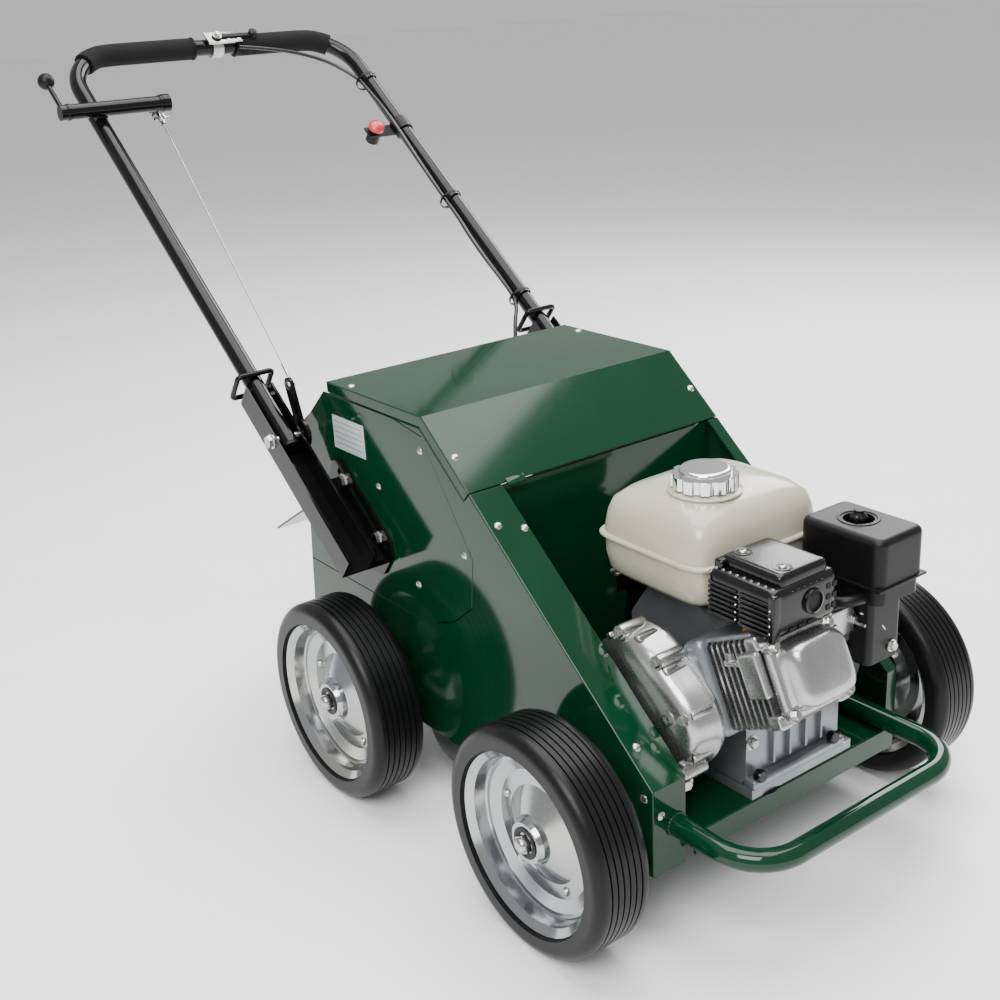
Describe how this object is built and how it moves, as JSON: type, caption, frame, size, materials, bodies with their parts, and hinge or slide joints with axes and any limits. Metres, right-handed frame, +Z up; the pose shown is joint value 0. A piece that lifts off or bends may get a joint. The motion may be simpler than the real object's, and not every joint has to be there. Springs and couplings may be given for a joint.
{
  "type": "lawn dethatcher",
  "caption": "Walk-behind petrol lawn dethatcher: folded steel housing, solid tyres, bent tube handle with lift lever, small engine on a front deck.",
  "frame": {"origin": "on the ground, midway between the front and rear axles and between the two sides", "axes": "+Y towards the handle, -Y towards the engine and front bar, +X towards the starter side, -X towards the belt side, +Z up"},
  "size_m": [0.616, 1.3827, 0.9279],
  "materials": {
    "green_paint": "gloss",
    "black_paint": "gloss",
    "grip_foam": "matt foam",
    "tyre_rubber": "satin",
    "zinc_rim": "bright zinc",
    "zinc_hardware": "zinc plated",
    "blade_steel": "plain",
    "cream_paint": "gloss",
    "cap_chrome": "polished",
    "cast_aluminium": "cast satin",
    "engine_grey": "cast painted",
    "guard_black": "semi-gloss",
    "black_plastic": "matt",
    "red_plastic": "gloss",
    "belt_rubber": "matt",
    "cable_steel": "wire rope",
    "cable_sheath": "satin"
  },
  "bodies": {
    "frame": {"air_cleaner": "black_plastic", "air_cleaner_base": "black_plastic", "axle_stubs": "zinc_hardware", "belt_cover": "green_paint", "belt_hatch": "green_paint", "bracket_left": "black_paint", "bracket_right": "black_paint", "cable_ties": "black_plastic", "carburettor": "engine_grey", "crankcase": "engine_grey", "engine_cowl": "guard_black", "engine_cylinder": "cast_aluminium", "engine_deck": "green_paint", "fasteners": "zinc_hardware", "front_bar": "green_paint", "fuel_tank": "cream_paint", "grips": "grip_foam", "handlebar": "black_paint", "hinge_pins": "zinc_hardware", "hood": "green_paint", "left_frame_plate": "green_paint", "muffler": "guard_black", "rear_panel": "green_paint", "recoil_cover": "black_plastic", "reduction_case": "cast_aluminium", "right_frame_plate": "green_paint", "rotor_shroud": "green_paint", "stop_switch": "black_plastic", "throttle_cable": "cable_sheath", "throttle_clamp": "zinc_hardware", "valve_cover": "cast_aluminium", "wheel_bearings": "zinc_hardware"},
    "wheel_front_right": {"tyre_front_right": "tyre_rubber", "rim_front_right": "zinc_rim"},
    "wheel_front_left": {"tyre_front_left": "tyre_rubber", "rim_front_left": "zinc_rim"},
    "wheel_rear_right": {"tyre_rear_right": "tyre_rubber", "rim_rear_right": "zinc_rim"},
    "wheel_rear_left": {"tyre_rear_left": "tyre_rubber", "rim_rear_left": "zinc_rim"},
    "carrier": {"rotor_carrier": "green_paint", "rotor_bearings": "zinc_hardware", "drive_belt": "belt_rubber"},
    "rotor": {"rotor_shaft": "zinc_hardware", "rotor_blades": "blade_steel", "driven_pulley": "zinc_hardware"},
    "drive": {"drive_pulley": "zinc_hardware"},
    "idler": {"idler_pulley": "zinc_hardware"},
    "lever": {"lift_lever": "black_paint", "lift_knob": "black_plastic"},
    "crank_arm": {"lift_arm": "black_paint"},
    "cable": {"lift_cable": "cable_steel"},
    "flap": {"rear_flap": "green_paint"},
    "ring_right": {"lock_ring_right": "black_paint"},
    "ring_left": {"lock_ring_left": "black_paint"},
    "throttle": {"throttle_lever": "black_plastic"},
    "button": {"stop_button": "red_plastic"},
    "cap": {"fuel_cap": "cap_chrome"},
    "wing_nut": {"air_cleaner_nut": "black_plastic"},
    "starter_grip": {"recoil_grip": "black_plastic"}
  },
  "joints": [
    {"name": "spin_front_right", "type": "hinge", "parent": "frame", "child": "wheel_front_right", "pos_m": [-0.271, -0.203, 0.13], "axis": [1, 0, 0], "continuous": true},
    {"name": "spin_front_left", "type": "hinge", "parent": "frame", "child": "wheel_front_left", "pos_m": [0.271, -0.203, 0.13], "axis": [1, 0, 0], "continuous": true},
    {"name": "spin_rear_right", "type": "hinge", "parent": "frame", "child": "wheel_rear_right", "pos_m": [-0.271, 0.203, 0.13], "axis": [1, 0, 0], "continuous": true},
    {"name": "spin_rear_left", "type": "hinge", "parent": "frame", "child": "wheel_rear_left", "pos_m": [0.271, 0.203, 0.13], "axis": [1, 0, 0], "continuous": true},
    {"name": "lever_turn", "type": "hinge", "parent": "frame", "child": "lever", "pos_m": [-0.22, 0.82033, 0.83395], "axis": [1, 0, 0], "range_deg": [0, 20]},
    {"name": "rotor_lift", "type": "hinge", "parent": "frame", "child": "carrier", "pos_m": [0, -0.198, 0.215], "axis": [1, 0, 0], "range_deg": [0, 4.37]},
    {"name": "crank_turn", "type": "hinge", "parent": "frame", "child": "crank_arm", "pos_m": [-0.217, 0.3499, 0.43717], "axis": [1, 0, 0], "range_deg": [-19.45, 0]},
    {"name": "cable_swing", "type": "hinge", "parent": "crank_arm", "child": "cable", "pos_m": [-0.217, 0.372, 0.499], "axis": [1, 0, 0], "range_deg": [0, 22.25]},
    {"name": "rotor_spin", "type": "hinge", "parent": "carrier", "child": "rotor", "pos_m": [0, 0.092, 0.098], "axis": [1, 0, 0], "continuous": true},
    {"name": "drive_spin", "type": "hinge", "parent": "frame", "child": "drive", "pos_m": [-0.17, -0.198, 0.215], "axis": [1, 0, 0], "continuous": true},
    {"name": "idler_spin", "type": "hinge", "parent": "carrier", "child": "idler", "pos_m": [-0.178, -0.05504, 0.22592], "axis": [1, 0, 0], "continuous": true},
    {"name": "flap_swing", "type": "hinge", "parent": "frame", "child": "flap", "pos_m": [0, 0.404, 0.312], "axis": [1, 0, 0], "range_deg": [0, 60]},
    {"name": "ring_slide_right", "type": "slide", "parent": "frame", "child": "ring_right", "axis": [0, -0.7875, -0.6163], "range_m": [0, 0.02]},
    {"name": "ring_slide_left", "type": "slide", "parent": "frame", "child": "ring_left", "axis": [0, -0.7875, -0.6163], "range_m": [0, 0.02]},
    {"name": "throttle_turn", "type": "hinge", "parent": "frame", "child": "throttle", "pos_m": [0.011, 0.93352, 0.9181], "axis": [0, -0.6163, 0.7875], "range_deg": [-35, 35]},
    {"name": "stop_press", "type": "slide", "parent": "frame", "child": "button", "axis": [0, 0.6163, -0.7875], "range_m": [0, 0.004], "stiffness_N_per_m": 600},
    {"name": "cap_turn", "type": "hinge", "parent": "frame", "child": "cap", "pos_m": [-0.014, -0.184, 0.46], "axis": [0, 0, 1], "range_deg": [0, 90]},
    {"name": "wing_nut_turn", "type": "hinge", "parent": "frame", "child": "wing_nut", "pos_m": [0.088, -0.312, 0.415], "axis": [0, 0, 1], "range_deg": [0, 360]},
    {"name": "starter_pull", "type": "slide", "parent": "frame", "child": "starter_grip", "axis": [0, 0, 1], "range_m": [0, 0.25], "stiffness_N_per_m": 6, "springref_m": -0.3}
  ],
  "couplings": [
    {"joint": "rotor_lift", "follows": "lever_turn", "ratio": 0.2175},
    {"joint": "crank_turn", "follows": "lever_turn", "ratio": -0.97},
    {"joint": "cable_swing", "follows": "lever_turn", "ratio": 1.11},
    {"joint": "drive_spin", "follows": "rotor_spin", "ratio": 1.4667},
    {"joint": "idler_spin", "follows": "rotor_spin", "ratio": -2.2}
  ]
}
